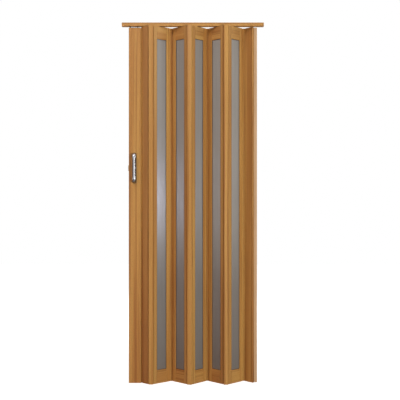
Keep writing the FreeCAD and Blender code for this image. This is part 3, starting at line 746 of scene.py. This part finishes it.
def bow_mesh(node, out_sign, handle):
    """A closed bow: its section runs along its path and changes from the ends to the grip."""
    low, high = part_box(node)
    centre = (low + high) / 2
    centre.y = high.y if out_sign < 0 else low.y
    length, end_width, thickness = high.z - low.z, high.x - low.x, handle.bow_thickness
    path = bow_path(length, high.y - low.y, handle.grip_length, thickness, handle.bow_bend)
    grip, broad = handle.grip_length / 2, length / 2 - handle.bow_bend
    shape = bmesh.new()
    rings = []
    for out, up, turn in path:
        share = min(1.0, max(0.0, (abs(up) - grip) / (broad - grip)))
        share = share * share * (3 - 2 * share)  # eased, so that the bow widens without a kink
        ring = []
        for (grip_x, grip_lift), (end_x, end_lift) in zip(GRIP_SECTION, END_SECTION):
            across = grip_x * handle.grip_width * (1 - share) + end_x * end_width * share
            lift = thickness * (grip_lift * (1 - share) + end_lift * share)
            place = (across, out_sign * (out + lift * math.sin(turn)), up + lift * math.cos(turn))
            ring.append(shape.verts.new(centre + Vector(place)))
        rings.append(ring)
    for first, second in zip(rings, rings[1:]):
        for index in range(len(first)):
            after = (index + 1) % len(first)
            shape.faces.new((first[index], first[after], second[after], second[index]))
    shape.faces.new(rings[0])
    shape.faces.new(rings[-1])
    bmesh.ops.recalc_face_normals(shape, faces=shape.faces)
    mesh = bpy.data.meshes.new(f"bow_{node}")
    shape.to_mesh(mesh)
    shape.free()
    mesh.shade_smooth()
    return mesh


class LatchOperator(bpy.types.Operator):
    """Finish the latch in plated steel and the lock slide in chrome"""

    bl_idname = "accordion_door.latch"
    bl_label = "Latch and Lock Slide"

    def execute(self, context):
        paint(["latch"], latch_steel(context.scene.door_trim))
        mesh = merged("lock_slide", chrome_plate())
        made = piece("slide", mesh, ["lock_slide"])
        round_edges(made, context.scene.door_handle.slide_edge)
        return {"FINISHED"}


class RunnersOperator(bpy.types.Operator):
    """Finish the runners and their stems in moulded nylon"""

    bl_idname = "accordion_door.runners"
    bl_label = "Runners"

    def execute(self, context):
        # Moulded nylon is dull and a little waxy
        nylon = plain_plastic(
            "Nylon, moulded dark", context.scene.door_trim.runners, grit=0.8 * MM, roughness=0.5)
        paint(["leaf_runners", "post_runners"], nylon)
        return {"FINISHED"}


# Stage
# The floor's own glow where the lamps light it and where they don't, and the distances from the
# middle of the track's top between which it changes, in metres
LIT_GLOW, UNLIT_GLOW = 0.84, 1.0
LIT_WITHIN, UNLIT_FROM = 2.05, 2.8


def studio_paper(colour):
    """White paper, matt, which the camera sees as white wherever the door casts no shadow.

    The lamps stand near the door, so the floor's own glow makes up for them further out.
    """
    material, tree = new_material("Studio paper, white")
    matt = add(tree, "ShaderNodeBsdfDiffuse", {}, {"Color": (*colour, 1)})
    path = add(tree, "ShaderNodeLightPath", {}, {})
    place = add(tree, "ShaderNodeTexCoord", {}, {})
    away = add(tree, "ShaderNodeVectorMath", {"operation": "LENGTH"}, {0: place.outputs["Object"]})
    level = add(
        tree, "ShaderNodeMapRange", SMOOTH,
        {"Value": away.outputs["Value"], "From Min": LIT_WITHIN, "From Max": UNLIT_FROM,
         "To Min": LIT_GLOW, "To Max": UNLIT_GLOW})
    seen = add(
        tree, "ShaderNodeMath", {"operation": "MULTIPLY"},
        {0: path.outputs["Is Camera Ray"], 1: level.outputs["Result"]})
    glow = add(
        tree, "ShaderNodeEmission", {}, {"Color": (1, 1, 1, 1), "Strength": seen.outputs["Value"]})
    both = add(
        tree, "ShaderNodeAddShader", {}, {0: matt.outputs["BSDF"], 1: glow.outputs["Emission"]})
    add(tree, "ShaderNodeOutputMaterial", {}, {"Surface": both.outputs["Shader"]})
    return material


def lay_floor(stage):
    """Lays a square of white paper, level with the door's foot."""
    level, reach = cad_box[0].z, stage.floor_reach
    mesh = bpy.data.meshes.new("floor")
    mesh.from_pydata(
        [(-reach, -reach, level), (reach, -reach, level), (reach, reach, level),
         (-reach, reach, level)], [], [(0, 1, 2, 3)])
    mesh.materials.append(studio_paper(stage.paper))
    floor = bpy.data.objects.new("floor", mesh)
    bpy.context.scene.collection.objects.link(floor)


def light_room(strength):
    """A white room to the camera, to metal and to glass, and a dimmer one as a source of light."""
    world = bpy.data.worlds.new("Room")
    world.use_nodes = True
    tree = world.node_tree
    tree.nodes.clear()
    path = add(tree, "ShaderNodeLightPath", {}, {})
    seen = path.outputs["Is Camera Ray"]
    for kind in ("Is Glossy Ray", "Is Transmission Ray"):
        seen = add(
            tree, "ShaderNodeMath", {"operation": "MAXIMUM"},
            {0: seen, 1: path.outputs[kind]}).outputs["Value"]
    level = add(
        tree, "ShaderNodeMapRange", {}, {"Value": seen, "To Min": strength, "To Max": 1.0})
    shine = add(
        tree, "ShaderNodeBackground", {},
        {"Color": (1, 1, 1, 1), "Strength": level.outputs["Result"]})
    add(tree, "ShaderNodeOutputWorld", {}, {"Surface": shine.outputs["Background"]})
    bpy.context.scene.world = world


def lamp(name, place, aim, size, power, matt=True, gloss=True, through=False, colour=(1, 1, 1)):
    """A rectangular lamp that faces a point of the door. Its size is its width and height.

    Matt surfaces are lit by it, glossy ones show it and the panes let it through only as told.
    """
    light = bpy.data.lights.new(name, "AREA")
    light.color = colour
    light.shape = "RECTANGLE"
    light.size, light.size_y = size
    light.energy = power
    held = bpy.data.objects.new(name, light)
    held.location = place
    held.rotation_euler = (Vector(aim) - Vector(place)).to_track_quat("-Z", "Y").to_euler()
    held.visible_camera, held.visible_transmission = False, through
    held.visible_diffuse, held.visible_glossy = matt, gloss
    bpy.context.scene.collection.objects.link(held)


def hang_lamps(stage, eye):
    """Hangs the lamps. Their places are in metres from the middle of the track's top."""
    # In front on the right: the door's main light, and the one that its gloss shows
    lamp("Key", place=(2.2, -4.0, -1.3), aim=(0, 0, -1.2), size=(0.9, 0.9), power=stage.key,
         gloss=False)
    lamp("Side", place=(2.7, -3.6, -0.9), aim=(0, 0, -1.0), size=(0.9, 0.9), power=stage.side)
    # Near on the left: the faces that look away from the key, which the photo shows redder
    lamp("High", place=(-1.3, -1.8, 1.2), aim=(0.2, 0, 0.3), size=(0.8, 0.8), power=stage.high,
         colour=(1, 0.86, 0.86))
    lamp("Warm", place=(-1.5, -1.4, -1.9), aim=(0, 0, -1.6), size=(1.0, 1.0), power=stage.warm,
         gloss=False, colour=(1, 0.3, 0.22))
    # Above and behind: the track, the tops of the leaves and the back
    lamp("Top", place=(0.4, -0.9, 2.2), aim=(0, 0, -0.5), size=(1.6, 0.8), power=stage.top)
    lamp("Back", place=(0.8, 3.6, 0.2), aim=(0, 0, -1.0), size=(1.4, 1.4), power=stage.back,
         gloss=False)
    # Behind the panes: the glow halfway up the left ones, and a little light in the right ones
    lamp("Window", place=(-0.75, 2.6, eye), aim=(-0.1, 0, eye), size=(0.4, 0.4),
         power=stage.window, matt=False, gloss=False, through=True, colour=(0.65, 0.72, 1))
    lamp("Veil", place=(0.45, 2.6, -0.5), aim=(0.2, 0, -0.6), size=(0.3, 2.2), power=stage.veil,
         matt=False, gloss=False, through=True, colour=(0.9, 1, 1))
    # On the right: a broad reflection in the panes and the foil, which lights nothing matt
    lamp("Sky", place=(2.1, -0.98, 0.2), aim=(-0.1, 0, -0.4), size=(0.8, 1.0), power=stage.sky,
         matt=False)


class StageOperator(bpy.types.Operator):
    """Set up the floor, the lamps, the room and the camera"""

    bl_idname = "accordion_door.stage"
    bl_label = "Stage"

    def execute(self, context):
        stage = context.scene.door_stage
        eye = -stage.drop
        lay_floor(stage)
        light_room(stage.ambient)
        hang_lamps(stage, eye)
        data = bpy.data.cameras.new("Camera")
        data.sensor_width = 36
        data.lens = stage.lens
        camera = bpy.data.objects.new("Camera", data)
        camera.location = (stage.aside, -stage.distance, eye)
        camera.rotation_euler = (math.pi / 2, 0, 0)
        context.scene.collection.objects.link(camera)
        context.scene.camera = camera
        context.scene.view_settings.view_transform = "Standard"
        return {"FINISHED"}


OPERATORS = (
    TrackOperator, UprightsOperator, CrossPiecesOperator, PanesOperator, GasketsOperator,
    WallProfilesOperator, PlatesOperator, BowsOperator, LatchOperator, RunnersOperator,
    StageOperator,
)
SETTINGS = {
    "door_foil": FoilSettings, "door_panes": PaneSettings, "door_handle": HandleSettings,
    "door_trim": TrimSettings, "door_stage": StageSettings,
}


class DoorPanel(bpy.types.Panel):
    """Lists the door's steps and sizes in the sidebar"""

    bl_idname = "VIEW3D_PT_accordion_door"
    bl_label = "Accordion Door"
    bl_space_type = "VIEW_3D"
    bl_region_type = "UI"
    bl_category = "Accordion Door"

    def draw(self, context):
        for operator in OPERATORS:
            self.layout.operator(operator.bl_idname)
        for name, group in SETTINGS.items():
            box = self.layout.box()
            for label in group.__annotations__:
                box.prop(getattr(context.scene, name), label)


CLASSES = (*SETTINGS.values(), *OPERATORS, DoorPanel)


def register():
    for kind in CLASSES:
        bpy.utils.register_class(kind)
    for name, group in SETTINGS.items():
        setattr(bpy.types.Scene, name, PointerProperty(type=group))


def unregister():
    for name in SETTINGS:
        delattr(bpy.types.Scene, name)
    for kind in reversed(CLASSES):
        bpy.utils.unregister_class(kind)


def main():
    register()
    for operator in OPERATORS:
        getattr(bpy.ops.accordion_door, operator.bl_idname.split(".")[1])()


if __name__ == "__main__":
    main()
